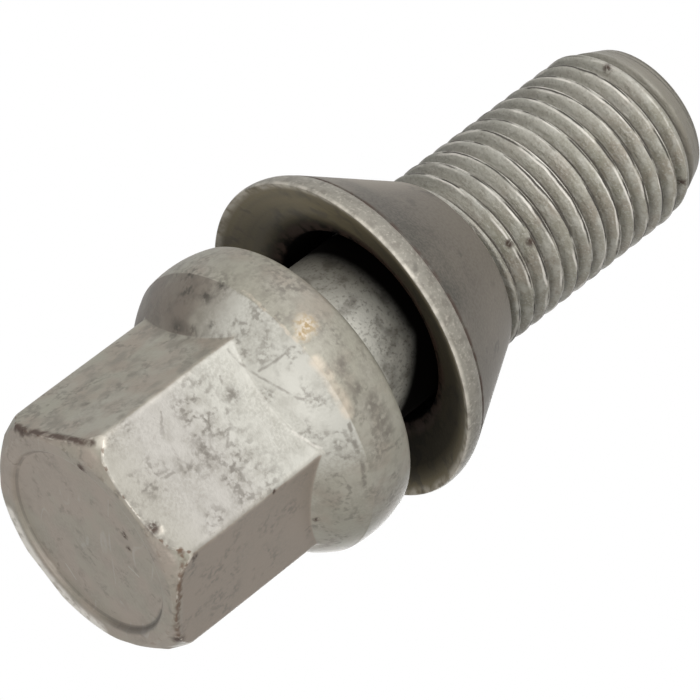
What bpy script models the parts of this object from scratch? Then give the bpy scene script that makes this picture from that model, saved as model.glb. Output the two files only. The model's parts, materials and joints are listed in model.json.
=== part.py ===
"""Two-piece wheel bolt: a forged hex bolt with a captive conical seat collar.

The bolt stands on its head with the thread up. The head's end face is at z = 0
and the bolt's axis is the Z axis. The loose collar hangs against the start of
the thread, leaning a little, and can drop down the neck onto the flange's ball
seat. Sizes below are in millimetres and degrees.
"""
import math

import bmesh
import bpy
from mathutils import Matrix, Quaternion, Vector

# Driving dimensions of the bolt
BOLT_LENGTH = 55.4
HEX_ACROSS_FLATS = 16.65
HEX_EDGE_RADIUS = 0.45
HEX_FACE_DIAMETER = 16.2
HEX_CHAMFER_ANGLE = 30.0
HEX_EASE_DIAMETER = 18.3
HEX_EASE_ANGLE = 65.0
RECESS_DIAMETER = 14.3
RECESS_DEPTH = 0.35
SHOULDER_START = 13.0
SHOULDER_START_DIAMETER = 16.9
SHOULDER_HEIGHT = 2.68
SHOULDER_BULGE = 0.45
FLANGE_DIAMETER = 22.54
FLANGE_HEIGHT = 3.96
FLANGE_TOP_DROP = 0.11
FLANGE_SEAT_DROP = 0.37
FLANGE_EDGE = 0.3
BALL_SEAT_RADIUS = 25.0
NECK_FILLET = 0.6

# Driving dimensions of the thread, M14 x 1.5, right hand
THREAD_DIAMETER = 13.92
THREAD_PITCH = 1.5
THREAD_START = 34.64
THREAD_START_AZIMUTH = -90.0
THREAD_RUNOUT = 1.4
TIP_CHAMFER_LENGTH = 3.0
TIP_FACE_DIAMETER = 11.4

# Driving dimensions of the seat collar
COLLAR_LENGTH = 9.5
COLLAR_MOUTH_DIAMETER = 24.56
COLLAR_MOUTH_EDGE = 0.2
COLLAR_BAND_HEIGHT = 1.85
COLLAR_BAND_STEP = 0.12
COLLAR_CONE_ANGLE = 60.0
COLLAR_SMALL_END_DIAMETER = 14.8
COLLAR_CUP_INNER_DIAMETER = 15.0
COLLAR_LAND = 2.0
COLLAR_HOLD = 0.22
COLLAR_BORE_EDGE = 0.2
COLLAR_LEAN = 3.4
COLLAR_LEAN_HEADING = 42.6
COLLAR_THREAD_GAP = 0.98

# Fineness of the round surfaces, and the distance in metres at which points merge
ROUND_STEPS = 60
ARC_STEPS = 5
SHARP_ANGLE = 30.0
MERGE_DISTANCE = 0.000005

MM = 0.001

# Metric thread form as shares of the pitch: depths below the crest, widths of the flats
ISO_ROOT_DEPTH = 0.6134
ISO_PITCH_DEPTH = 0.3248
ISO_CREST_FLAT = 0.125
ISO_ROOT_FLAT = 0.16

# How far joined shapes reach into each other, and cutters past what they cut
SINK = 0.25

# Radii and heights that follow from the driving dimensions
CREST_RADIUS = THREAD_DIAMETER / 2
NECK_RADIUS = CREST_RADIUS - ISO_PITCH_DEPTH * THREAD_PITCH
ROOT_RADIUS = CREST_RADIUS - ISO_ROOT_DEPTH * THREAD_PITCH
BAND_START = SHOULDER_START + SHOULDER_HEIGHT
BAND_END = BAND_START + FLANGE_HEIGHT
SEAT_EDGE_HEIGHT = BAND_END + FLANGE_EDGE
SEAT_EDGE_RADIUS = FLANGE_DIAMETER / 2 - FLANGE_SEAT_DROP - FLANGE_EDGE


def clear_scene():
    for item in list(bpy.data.objects):
        bpy.data.objects.remove(item, do_unlink=True)


def make_material(name, colour, roughness, metallic):
    material = bpy.data.materials.new(name)
    material.use_nodes = True
    shader = material.node_tree.nodes["Principled BSDF"]
    shader.inputs["Base Color"].default_value = (*colour, 1.0)
    shader.inputs["Roughness"].default_value = roughness
    shader.inputs["Metallic"].default_value = metallic
    material.diffuse_color = (*colour, 1.0)
    return material


def arc_points(start, end, bulge, steps):
    """Points of the arc from start to end that stands out by bulge to its left."""
    chord = Vector(end) - Vector(start)
    half = chord.length / 2
    radius = (half * half + bulge * bulge) / (2 * bulge)
    left = Vector((-chord.y, chord.x)).normalized()
    centre = Vector(start) + chord / 2 - left * (radius - bulge)
    first = Vector(start) - centre
    sweep = -2 * math.asin(half / radius)
    points = []
    for index in range(steps + 1):
        turned = Matrix.Rotation(sweep * index / steps, 2) @ first
        points.append(tuple(centre + turned))
    return points


def sphere_height(centre_z, radius):
    """Height of the ball seat's surface above the plane z = 0 at a radius."""
    return centre_z + math.sqrt(BALL_SEAT_RADIUS ** 2 - radius ** 2)


def seat_points(centre_z, inner, outer, steps):
    """Points on the ball seat from the inner to the outer radius."""
    points = []
    for index in range(steps + 1):
        radius = inner + (outer - inner) * index / steps
        points.append((radius, sphere_height(centre_z, radius)))
    return points


def mesh_object(name, shape):
    """Object made of a bmesh, which is freed."""
    mesh = bpy.data.meshes.new(name)
    shape.to_mesh(mesh)
    shape.free()
    item = bpy.data.objects.new(name, mesh)
    bpy.context.scene.collection.objects.link(item)
    return item


def profile_object(name, points, closed):
    """Object whose edges follow (radius, height) points in the XZ plane."""
    shape = bmesh.new()
    verts = [shape.verts.new((radius * MM, 0.0, height * MM)) for radius, height in points]
    for first, second in zip(verts, verts[1:]):
        shape.edges.new((first, second))
    if closed:
        shape.edges.new((verts[-1], verts[0]))
    return mesh_object(name, shape)


def add_screw(item, steps, pitch=0.0, turns=1):
    """Turn the profile about Z, or wind it up a helix when a pitch is given."""
    screw = item.modifiers.new("Turned", "SCREW")
    screw.axis = "Z"
    screw.angle = math.tau
    screw.screw_offset = pitch * MM
    screw.iterations = turns
    screw.steps = steps
    screw.render_steps = steps
    screw.use_smooth_shade = True
    screw.use_merge_vertices = pitch == 0.0
    screw.merge_threshold = MERGE_DISTANCE


def add_boolean(item, other, operation):
    boolean = item.modifiers.new(operation.title() + " " + other.name, "BOOLEAN")
    boolean.operation = operation
    boolean.solver = "EXACT"
    boolean.object = other


def bake(item):
    """Replace the object's mesh by what its modifiers make of it."""
    graph = bpy.context.evaluated_depsgraph_get()
    mesh = bpy.data.meshes.new_from_object(item.evaluated_get(graph))
    item.modifiers.clear()
    item.data = mesh


def close_ends(item):
    """Fill the open end loops of a wound surface."""
    shape = bmesh.new()
    shape.from_mesh(item.data)
    bmesh.ops.holes_fill(shape, edges=shape.edges, sides=0)
    bmesh.ops.triangulate(shape, faces=[face for face in shape.faces if len(face.verts) > 4])
    shape.to_mesh(item.data)
    shape.free()


def shade_by_angle(item):
    """Smooth shading that stays crisp on edges sharper than SHARP_ANGLE."""
    item.data.shade_smooth()
    item.data.set_sharp_from_angle(angle=math.radians(SHARP_ANGLE))


def turned_blank():
    """Shoulder, flange, ball seat and neck, turned from one profile.

    The neck is the blank that the thread is rolled on, at the pitch radius.
    """
    flange = FLANGE_DIAMETER / 2
    centre = SEAT_EDGE_HEIGHT - sphere_height(0.0, SEAT_EDGE_RADIUS)
    seat_inner = NECK_RADIUS + NECK_FILLET
    fillet_foot = sphere_height(centre, seat_inner)
    shank = [
        (0.0, THREAD_START + SINK),
        (ROOT_RADIUS - SINK, THREAD_START + SINK),
        (NECK_RADIUS, THREAD_START - THREAD_RUNOUT),
    ]
    fillet = arc_points((NECK_RADIUS, fillet_foot + NECK_FILLET), (seat_inner, fillet_foot),
                        -NECK_FILLET * (1 - math.sqrt(0.5)), ARC_STEPS // 2)
    seat = seat_points(centre, seat_inner, SEAT_EDGE_RADIUS, ARC_STEPS // 2)[1:]
    band = arc_points((flange - FLANGE_SEAT_DROP, BAND_END), (flange - FLANGE_TOP_DROP, BAND_START),
                      (FLANGE_SEAT_DROP + FLANGE_TOP_DROP) / 2, ARC_STEPS)
    shoulder = arc_points((flange - FLANGE_TOP_DROP, BAND_START),
                          (SHOULDER_START_DIAMETER / 2, SHOULDER_START),
                          SHOULDER_BULGE, ARC_STEPS)[1:]
    hidden = HEX_ACROSS_FLATS / 4
    foot = [(hidden, SHOULDER_START - hidden / 2), (0.0, SHOULDER_START - hidden / 2)]
    return profile_object("bolt", shank + fillet + seat + band + shoulder + foot, False)


def hex_blank():
    """Hexagonal prism with rounded edges, one flat towards -Y."""
    corner_radius = HEX_ACROSS_FLATS / math.sqrt(3) * MM
    height = BAND_START * MM
    shape = bmesh.new()
    bmesh.ops.create_cone(
        shape, cap_ends=True, segments=6, radius1=corner_radius, radius2=corner_radius, depth=height,
        matrix=Matrix.Translation((0, 0, height / 2)) @ Matrix.Rotation(math.pi / 6, 4, "Z"))
    item = mesh_object("hex_blank", shape)
    rounding = item.modifiers.new("Rounded edges", "BEVEL")
    rounding.limit_method = "ANGLE"
    rounding.angle_limit = math.radians(50)
    rounding.width = HEX_EDGE_RADIUS * math.tan(math.pi / 6) * MM
    rounding.segments = 2
    return item


def hex_envelope():
    """Turned shape that chamfers the hex's end and holds its round recess."""
    face = HEX_FACE_DIAMETER / 2
    ease = HEX_EASE_DIAMETER / 2
    ease_height = (ease - face) * math.tan(math.radians(HEX_CHAMFER_ANGLE))
    outer = HEX_ACROSS_FLATS
    top = 2 * BAND_START
    recess = RECESS_DIAMETER / 2
    points = [
        (0.0, top),
        (outer, top),
        (outer, ease_height + (outer - ease) * math.tan(math.radians(HEX_EASE_ANGLE))),
        (ease, ease_height),
        (face, 0.0),
        (recess, 0.0),
        (recess - RECESS_DEPTH / 2, RECESS_DEPTH),
        (0.0, RECESS_DEPTH),
    ]
    return profile_object("hex_envelope", points, False)


def threaded_rod():
    """Rod with a right-hand thread: one pitch of its outline wound up the axis.

    It runs past both ends of the thread, where the thread's limits cut it off.
    """
    half_crest = ISO_CREST_FLAT * THREAD_PITCH / 2
    half_base = (1.0 - ISO_ROOT_FLAT) * THREAD_PITCH / 2
    spare_turns = math.ceil(THREAD_RUNOUT / THREAD_PITCH) + 2
    first = THREAD_START - (THREAD_START_AZIMUTH / 360.0 + spare_turns) * THREAD_PITCH
    turns = math.ceil((BOLT_LENGTH - first) / THREAD_PITCH) + 2
    points = [
        (ROOT_RADIUS, first + half_base),
        (CREST_RADIUS, first + half_crest),
        (CREST_RADIUS, first - half_crest),
        (ROOT_RADIUS, first - half_base),
        (ROOT_RADIUS, first + half_base - THREAD_PITCH),
    ]
    rod = profile_object("threaded_rod", points, False)
    add_screw(rod, ROUND_STEPS, THREAD_PITCH, turns)
    weld = rod.modifiers.new("Joined turns", "WELD")
    weld.merge_threshold = MERGE_DISTANCE
    bake(rod)
    close_ends(rod)
    return rod


def thread_limits():
    """Turned shape that the rod keeps inside: run-in cone, tip cone and end face."""
    fade_start = THREAD_START - THREAD_RUNOUT
    outside = CREST_RADIUS + SINK
    fade_end = fade_start + THREAD_RUNOUT * (outside - NECK_RADIUS) / (CREST_RADIUS - NECK_RADIUS)
    tip_taper = TIP_CHAMFER_LENGTH / (CREST_RADIUS - TIP_FACE_DIAMETER / 2)
    points = [
        (0.0, BOLT_LENGTH),
        (TIP_FACE_DIAMETER / 2, BOLT_LENGTH),
        (outside, BOLT_LENGTH - tip_taper * (outside - TIP_FACE_DIAMETER / 2)),
        (outside, fade_end),
        (NECK_RADIUS, fade_start),
        (NECK_RADIUS - SINK, fade_start - SINK),
        (0.0, fade_start - SINK),
    ]
    return profile_object("thread_limits", points, False)


def build_bolt(material):
    """The forging: hex head, domed shoulder, flange with ball seat, neck and thread."""
    bolt = turned_blank()
    add_screw(bolt, ROUND_STEPS)
    head = hex_blank()
    envelope = hex_envelope()
    add_screw(envelope, ROUND_STEPS)
    add_boolean(head, envelope, "INTERSECT")
    rod = threaded_rod()
    limits = thread_limits()
    add_screw(limits, ROUND_STEPS)
    add_boolean(rod, limits, "INTERSECT")
    add_boolean(bolt, head, "UNION")
    add_boolean(bolt, rod, "UNION")
    bake(bolt)
    for item in (head, envelope, rod, limits):
        bpy.data.objects.remove(item, do_unlink=True)
    shade_by_angle(bolt)
    bolt.data.materials.clear()
    bolt.data.materials.append(material)
    return bolt


def build_collar(material):
    """The loose ring: 60 degree cone outside, shallow ball cup and plain bore inside."""
    small = COLLAR_SMALL_END_DIAMETER / 2
    mouth = COLLAR_MOUTH_DIAMETER / 2
    bore = CREST_RADIUS - COLLAR_HOLD / 2
    cup_inner = COLLAR_CUP_INNER_DIAMETER / 2
    cup_outer = mouth - COLLAR_MOUTH_EDGE
    bottom = -COLLAR_LENGTH
    band_top = bottom + COLLAR_BAND_HEIGHT
    cone_large = small - band_top * math.tan(math.radians(COLLAR_CONE_ANGLE / 2))
    cup_edge = bottom + COLLAR_MOUTH_EDGE / 3
    centre = cup_edge - math.sqrt(BALL_SEAT_RADIUS ** 2 - cup_outer ** 2)

    small_edge = COLLAR_MOUTH_EDGE / 2

    small_end = [
        (bore, -COLLAR_BORE_EDGE),
        (bore + COLLAR_BORE_EDGE, 0.0),
        (small - small_edge, 0.0),
        (small, -small_edge),
    ]
    cone = [(cone_large, band_top)]
    band = arc_points((cone_large + COLLAR_BAND_STEP, band_top - COLLAR_BAND_STEP),
                      (mouth, bottom + COLLAR_MOUTH_EDGE), COLLAR_BAND_STEP, 3)
    mouth_edge = [(mouth - COLLAR_MOUTH_EDGE / 3, bottom)]
    cup = list(reversed(seat_points(centre, cup_inner, cup_outer, ARC_STEPS)))
    land = [(bore, -COLLAR_LAND)]
    collar = profile_object("seat_collar", small_end + cone + band + mouth_edge + cup + land, True)
    add_screw(collar, ROUND_STEPS)
    bake(collar)
    shade_by_angle(collar)
    heading = math.radians(COLLAR_LEAN_HEADING)
    lean_axis = Vector((-math.sin(heading), math.cos(heading), 0.0))
    collar.location = (0.0, 0.0, (THREAD_START - COLLAR_THREAD_GAP) * MM)
    collar.rotation_mode = "QUATERNION"
    collar.rotation_quaternion = Quaternion(lean_axis, math.radians(COLLAR_LEAN))
    collar.data.materials.append(material)
    return collar


def main():
    clear_scene()
    steel = make_material("zinc_plated_forging", (0.36, 0.35, 0.32), 0.45, 0.85)
    ring_steel = make_material("zinc_plated_ring", (0.24, 0.23, 0.21), 0.5, 0.85)
    wheel_bolt = bpy.data.collections.new("wheel_bolt")
    bpy.context.scene.collection.children.link(wheel_bolt)
    for piece in (build_bolt(steel), build_collar(ring_steel)):
        bpy.context.scene.collection.objects.unlink(piece)
        wheel_bolt.objects.link(piece)


main()
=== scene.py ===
"""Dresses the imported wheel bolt: fine surfaces, a worn zinc finish and a plain studio.

The bolt stands on its head with its axis on Z. Each piece is a surface over a grid, worked out
with numpy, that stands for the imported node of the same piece. Lengths are in metres, except
those that a comment or a docstring gives in millimetres. The sizes in the property groups are
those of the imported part, with the finer edges of the real one and small corrections of up to
0.35 mm that were read from the photograph later and stay inside that part.
"""
import json
import math

import bmesh
import bpy
import numpy as np
from bpy.props import FloatProperty, FloatVectorProperty, IntProperty, PointerProperty
from mathutils import Matrix, Quaternion, Vector


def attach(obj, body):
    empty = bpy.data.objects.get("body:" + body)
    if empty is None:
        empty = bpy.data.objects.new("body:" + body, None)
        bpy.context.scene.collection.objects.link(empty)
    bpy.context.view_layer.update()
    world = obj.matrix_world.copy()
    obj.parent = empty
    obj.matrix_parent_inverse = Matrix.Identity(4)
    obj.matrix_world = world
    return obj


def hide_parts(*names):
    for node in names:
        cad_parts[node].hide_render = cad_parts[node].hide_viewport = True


bl_info = {
    "name": "Wheel Bolt",
    "version": (1, 0, 0),
    "blender": (4, 5, 0),
    "location": "3D View > Sidebar > Wheel Bolt",
    "description": "Builds a two-piece wheel bolt with a worn zinc finish and its studio",
    "category": "Add Mesh",
}

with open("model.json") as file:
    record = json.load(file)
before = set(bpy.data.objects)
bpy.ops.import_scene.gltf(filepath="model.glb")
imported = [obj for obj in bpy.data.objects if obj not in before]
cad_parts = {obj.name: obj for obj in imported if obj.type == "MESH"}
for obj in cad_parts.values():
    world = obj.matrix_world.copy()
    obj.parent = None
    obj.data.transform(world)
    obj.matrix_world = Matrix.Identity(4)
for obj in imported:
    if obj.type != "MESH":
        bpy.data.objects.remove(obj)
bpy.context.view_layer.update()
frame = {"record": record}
MOUNTS = {mount["name"]: Vector(mount["pos_m"]) for mount in frame["record"]["mounts"]}

MM = 0.001
HEX_SIDES = 6
SECTOR = math.tau / HEX_SIDES

# Where a rounded corner's rows lie along its curve, the most of a side that its rounding takes up,
# and the wear, or below zero the painted shade, on the rows where the rounding begins and ends, as a share
# of the corner's own
ROUND_SHARES = (0.0, 0.25, 0.5, 0.75)
ROUND_LIMIT = 0.48
ROUND_END_SHARE = 0.35

# Roundings of the head's corners, from the recess outwards, and how far up the flats the
# extra rounding of the hexagon's edges has half gone and is gone, in millimetres
RECESS_ROUND = 0.25
FACE_ROUND = 0.3
EASE_ROUND = 0.15
END_ROUND = 0.18
SHOULDER_ROUND = 0.3
SHOULDER_ROUND_FALL = 0.18
WEAR_FADING = 1.6
WEAR_GONE = 3.0

# The small ridge between the dome and the band: its start and its end, from the corner where they
# would meet, along the radius and the height, in millimetres
RIDGE_START = (-0.02, -0.03)
RIDGE_END = (0.04, 0.06)

# The turned line between the collar's cone and its band: how far up the cone its side begins, in
# millimetres, and how deep it is there, as a share of its depth
GROOVE_SIDE = 0.14
GROOVE_SIDE_SHARE = 0.3

# The least width of the end chamfer in millimetres, the share of it at which it turns steeper at
# the most, and how far from the hexagon's edges in millimetres their wear reaches
CHAMFER_LEAST = 0.1
EASE_SHARE = 0.6
CORNER_REACH = 0.3

# Metric thread form as shares of the pitch: depths below the crest, half widths of the flats
ROOT_DEPTH = 0.6134
PITCH_DEPTH = 0.3248
CREST_HALF = 0.0625
ROOT_HALF = 0.08

# Where the grid's rows lie within one pitch, in shares of it from the crest's middle
THREAD_ROWS = (-0.46, -0.4, -0.33, -0.24, -0.14, -0.065, -0.03, 0.0, 0.03, 0.065, 0.14, 0.24, 0.33, 0.4,
               0.46)

# Where the flank begins to bend into the root, and how far past it the bend is full, as shares of the flank
ROOT_BEND = 0.7
ROOT_BEND_SPAN = 0.6

# How far from the crest's middle its marks reach, over what they fade, and where the root's painted shade
# begins, in shares of the pitch
CREST_REACH = 0.36
CREST_FADE = 0.1
ROOT_SHADE = 0.36

# The rolling seam along the crest: its mean depth and how far its waves change it, as shares of the
# full depth, and each wave's share, its radians in a turn and its start
SEAM_MEAN = 0.55
SEAM_CHANGE = 0.4
SEAM_MOST = 1.2
SEAM_WAVES = ((1.0, 2.7, 0.6), (0.8, 7.1, 1.9), (0.6, 16.3, 0.4))

# Over what the run-in and the tip take the thread's marks away, in millimetres
CONE_FADE = 0.1

# Points closer than this are one, and edges shorter than this go, in millimetres
MERGE_DISTANCE = 0.0002
SLIVER_LENGTH = 0.00005


def linear(code):
    """Linear colour of an sRGB hex code."""
    parts = [int(code[place:place + 2], 16) / 255 for place in (1, 3, 5)]
    return tuple(part / 12.92 if part <= 0.04045 else ((part + 0.055) / 1.055) ** 2.4 for part in parts)


def length(name, description, default_mm):
    """Length property whose default is given in millimetres."""
    return FloatProperty(name=name, description=description, default=default_mm * MM,
                         min=0.0, unit="LENGTH", precision=5)


def turn(name, description, default_degrees):
    """Angle property whose default is given in degrees."""
    return FloatProperty(name=name, description=description, default=math.radians(default_degrees),
                         subtype="ANGLE", unit="ROTATION")


def tint(name, description, code):
    """Colour property whose default is an sRGB hex code."""
    return FloatVectorProperty(name=name, description=description, default=linear(code),
                               size=3, min=0.0, max=1.0, subtype="COLOR")


class WheelBoltHeadSizes(bpy.types.PropertyGroup):
    across_flats: length("Across flats", "Width of the hexagon", -2 * MOUNTS["hex_flat_front"].y / MM)
    corner_radius: length("Corner radius", "Rounding of the hexagon's six edges", 0.45)
    corner_wear: length("Corner wear", "Extra rounding of those edges at the head's end", 0.15)
    face_diameter: length("Face diameter", "Flat ring at the head's end", 16.2)
    face_shift: length("Face shift", "How much further out that ring reaches at the back", 0.35)
    chamfer_angle: turn("Chamfer angle", "Slope of the end chamfer", 30.0)
    ease_diameter: length("Ease diameter", "Where the chamfer turns steeper", 18.1)
    ease_angle: turn("Ease angle", "Slope of the chamfer past the ease", 65.0)
    recess_diameter: length("Recess diameter", "Round recess in the head's end", 14.3)
    recess_depth: length("Recess depth", "Depth of that recess", 0.35)
    shoulder_start: length("Shoulder start", "Height where the domed shoulder leaves the flats", 12.65)
    shoulder_start_diameter: length("Shoulder start diameter", "Shoulder's diameter there", 16.65)
    shoulder_height: length("Shoulder height", "Height of the domed shoulder", 3.03)
    shoulder_bulge: length("Shoulder bulge", "How far the dome stands out of its chord", 0.3)
    flange_diameter: length("Flange diameter", "Widest diameter of the flange", 22.54)
    flange_height: length("Flange height", "Height of the flange's band", 3.96)
    flange_top_drop: length("Flange top drop", "Band's fall in radius at the shoulder", 0.11)
    flange_seat_drop: length("Flange seat drop", "Band's fall in radius at the ball seat", 0.37)
    flange_edge: length("Flange edge", "Edge between the band and the ball seat", 0.3)
    ball_radius: length("Ball radius", "Radius of the ball seat", 25.0)
    neck_fillet: length("Neck fillet", "Fillet between the ball seat and the neck", 0.6)


class WheelBoltThreadSizes(bpy.types.PropertyGroup):
    bolt_length: length("Length", "Whole length of the bolt", MOUNTS["tip_face"].z / MM)
    diameter: length("Diameter", "Diameter over the crests", 13.92)
    pitch: length("Pitch", "Height of one turn of the thread", 1.5)
    start: length("Start", "Height of the first full crest", 34.64)
    start_azimuth: turn("Start azimuth", "Where round the axis that height is taken", -90.0)
    runout: length("Run-out", "Height over which the thread rises out of the neck", 1.4)
    tip_chamfer: length("Tip chamfer", "Length of the end chamfer", 3.0)
    tip_diameter: length("Tip diameter", "Flat at the tip", 11.4)
    tip_round: length("Tip rounding", "Rounding between the tip's flat and its chamfer", 0.3)
    seam_width: length("Seam width", "Rolling seam along the crest", 0.09)
    seam_depth: length("Seam depth", "Depth of that seam", 0.03)


class WheelBoltCollarSizes(bpy.types.PropertyGroup):
    height: length("Length", "Length of the collar along its axis", 9.5)
    mouth_diameter: length("Mouth diameter", "Outside diameter at the flange side", 24.54)
    mouth_edge: length("Mouth edge", "Rounding of the mouth's edge", 0.2)
    band_height: length("Band height", "Height of the outer band at the mouth", 1.85)
    band_step: length("Band step", "Step between the band and the cone", 0.12)
    groove_depth: length("Groove depth", "Turned line between the band and the cone", 0.06)
    cone_angle: turn("Cone angle", "Whole angle of the seat's cone", 60.0)
    small_diameter: length("Small end diameter", "Outside diameter at the thread side", 14.8)
    cup_inner: length("Cup inner diameter", "Where the ball cup meets the bore's lead", 15.0)
    land: length("Land", "Length of the plain bore", 2.0)
    hold: length("Hold", "How much smaller the bore is than the thread", 0.22)
    bore_edge: length("Bore edge", "Chamfer at the bore's thread side", 0.2)
    lean: turn("Lean", "How far the loose collar leans", 3.4)
    lean_heading: turn("Lean heading", "Way its small end leans", 42.6)
    thread_gap: length("Thread gap", "From its small end to the first full crest", 0.98)


class WheelBoltColours(bpy.types.PropertyGroup):
    zinc: tint("Zinc", "Dull zinc plating of the bolt", "#9A968A")
    zinc_cool: tint("Cool zinc", "Plating where it turns greenish", "#928F81")
    zinc_warm: tint("Warm zinc", "Plating where it turns brownish", "#8F8376")
    zinc_end: tint("End zinc", "Plating on the head's end", "#988D81")
    zinc_front: tint("Front zinc", "Smoother plating on the front flat", "#A9A59E")
    # Pale plating, and painted light on the shoulder's front, the front flat's upper part and the thread's
    # upper-left side
    pale_zinc_and_light: tint("Pale zinc", "Smoothest plating, towards the shoulder", "#B6B4AB")
    zinc_dark: tint("Dark zinc", "Plating in its darker patches", "#7B766B")
    smudge: tint("Smudge", "Dark smudges and hairline marks", "#625C53")
    # Grime colour, used for real dirt and for painted shade in corners, roots, the recess and on the
    # shoulder
    grime_and_shade: tint("Grime", "Dirt in the corners and on the neck", "#3A362F")
    # Stain colour, also painted shade on the shoulder's left side
    stain_and_shade: tint("Stain", "Broad dark stain on the shoulder", "#6C6359")
    # Painted light: a pale neck colour that stands in for the light on the neck
    neck_painted_light: tint("Neck zinc", "Clean plating on the neck", "#C6C4BA")
    worn: tint("Worn edge", "Edges rubbed to bright metal", "#CFC8BB")
    worn_warm: tint("Warm worn edge", "Rubbed patch with a brownish tinge", "#CDBFAC")
    # Bright colour, for rubbed lines and for painted highlights on the head's rim and the shoulder's ridge
    bright: tint("Bright metal", "Thin lines and rims rubbed brightest", "#E4DFD6")
    rust: tint("Rust", "Rust where the plating has gone", "#604A39")
    rust_dark: tint("Dark rust", "Old rust in cracks", "#3F3027")
    rust_pale: tint("Pale rust", "Fresh yellow rust", "#9C8458")
    ring: tint("Ring", "Plating on the collar's cone", "#4C463F")
    # Pale colour of the cone, for real patches and for painted light on its upper-left side
    pale_ring_and_light: tint("Light ring", "Lighter patches and scratches on the cone", "#7C7468")
    band: tint("Band", "Plating on the collar's outer band", "#88847A")
    cup: tint("Cup", "Dirty plating in the collar's cup", "#6D6349")
    # Painted shade: black on the neck under the collar and in the collar's cup and bore
    shade_black: tint("Bore", "Dirt in the collar's bore", "#0D0B09")


class WheelBoltGridSizes(bpy.types.PropertyGroup):
    columns: IntProperty(name="Bolt columns", description="Steps round the bolt", default=264, min=48)
    ring_columns: IntProperty(name="Collar columns", description="Steps round the collar", default=360,
                              min=48)
    crowding: FloatProperty(name="Crowding", default=0.72, min=0.0, max=0.9, subtype="FACTOR",
                            description="How the bolt's steps crowd at the hexagon's edges")


def sphere_height(ball, radius):
    """Height above its centre of a ball's surface at a distance from the axis."""
    return np.sqrt(ball ** 2 - radius ** 2)


def arc_centre(start, end, bulge):
    """Centre and radius of the arc from start to end that stands out by bulge to its left."""
    chord = np.subtract(end, start)
    half = np.hypot(*chord) / 2
    radius = (half ** 2 + bulge ** 2) / (2 * bulge)
    left = np.array([-chord[1], chord[0]]) / (2 * half)
    return np.add(start, end) / 2 - left * (radius - bulge), radius


def arc_rows(start, end, bulge, steps):
    """Points of that arc, at equal steps of its angle, without its two ends."""
    centre, radius = arc_centre(start, end, bulge)
    first = math.atan2(start[1] - centre[1], start[0] - centre[0])
    last = math.atan2(end[1] - centre[1], end[0] - centre[0])
    sweep = (last - first + math.pi) % math.tau - math.pi
    angles = first + sweep * np.arange(1, steps) / steps
    return [(centre[0] + radius * math.cos(angle), centre[1] + radius * math.sin(angle))
            for angle in angles]


def rounded_rows(corners):
    """Rows of points along a profile with rounded corners, for every column at once.

    Each corner is (radius, height, rounding, rows to the next corner, wear or painted shade). Above
    zero that value is wear, below zero it is painted shade in a concave corner. Its point is replaced
    by a quadratic Bezier curve that begins and ends one rounding away from it and takes the corner
    as its control point. Rows in between crowd towards both ends by a cosine. The third array
    returned carries that value: the corner's own value on its curve and zero elsewhere.
    """
    columns = max(np.size(value) for corner in corners for value in corner[:3])
    table = np.array([[np.broadcast_to(value, columns) for value in corner[:3]] for corner in corners])
    places = table[:, :2]
    steps = places[1:] - places[:-1]
    spans = np.maximum(np.hypot(steps[:, 0], steps[:, 1]), 1e-9)[:, None]
    ways = steps / spans
    shorter = np.minimum(np.concatenate([spans[:1], spans]), np.concatenate([spans, spans[-1:]]))
    rounds = np.minimum(table[:, 2:], ROUND_LIMIT * shorter)
    rows = []
    wear_and_shade = []
    for index, corner in enumerate(corners):
        place = places[index]
        worn = corner[4]
        leave = place
        if 0 < index < len(corners) - 1 and np.max(table[index, 2]) > 0:
            enter = place - ways[index - 1] * rounds[index]
            leave = place + ways[index] * rounds[index]
            for share in ROUND_SHARES:
                rows.append((1 - share) ** 2 * enter + 2 * share * (1 - share) * place + share ** 2 * leave)
                wear_and_shade.append(worn * (ROUND_END_SHARE if share == 0.0 else 1.0))
        if index == len(corners) - 1:
            rows.append(place)
            wear_and_shade.append(worn)
            continue
        arrive = places[index + 1] - ways[index] * rounds[index + 1] * float(index + 1 < len(corners) - 1)
        for step in range(corner[3]):
            share = (1 - math.cos(math.pi * step / corner[3])) / 2
            rows.append(leave + (arrive - leave) * share)
            wear_and_shade.append(worn * ROUND_END_SHARE if step == 0 else 0.0)
    return np.array(rows), np.array(wear_and_shade)


def off_corner_angle(angle):
    """How far an angle is from the nearest of the hexagon's corners, at 0, 60, ... degrees."""
    return np.abs((angle + SECTOR / 2) % SECTOR - SECTOR / 2)


def hexagon_radius(angle, across_flats, corner_radius):
    """Distance from the axis to a hexagon with rounded corners.

    Along a flat it is half the width over the cosine of the angle from the flat's middle. Within a
    corner it is the far crossing with the rounding's circle, which sits on the corner's direction.
    """
    off_corner = off_corner_angle(angle)
    half = across_flats / 2
    flat = half / np.cos(SECTOR / 2 - off_corner)
    reach = (half - corner_radius) / math.cos(SECTOR / 2)
    tangent = SECTOR / 2 - np.arctan2((half - corner_radius) * math.tan(SECTOR / 2), half)
    root = np.maximum(corner_radius ** 2 - (reach * np.sin(off_corner)) ** 2, 0.0)
    corner = reach * np.cos(off_corner) + np.sqrt(root)
    return np.where(off_corner < tangent, corner, flat)


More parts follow.
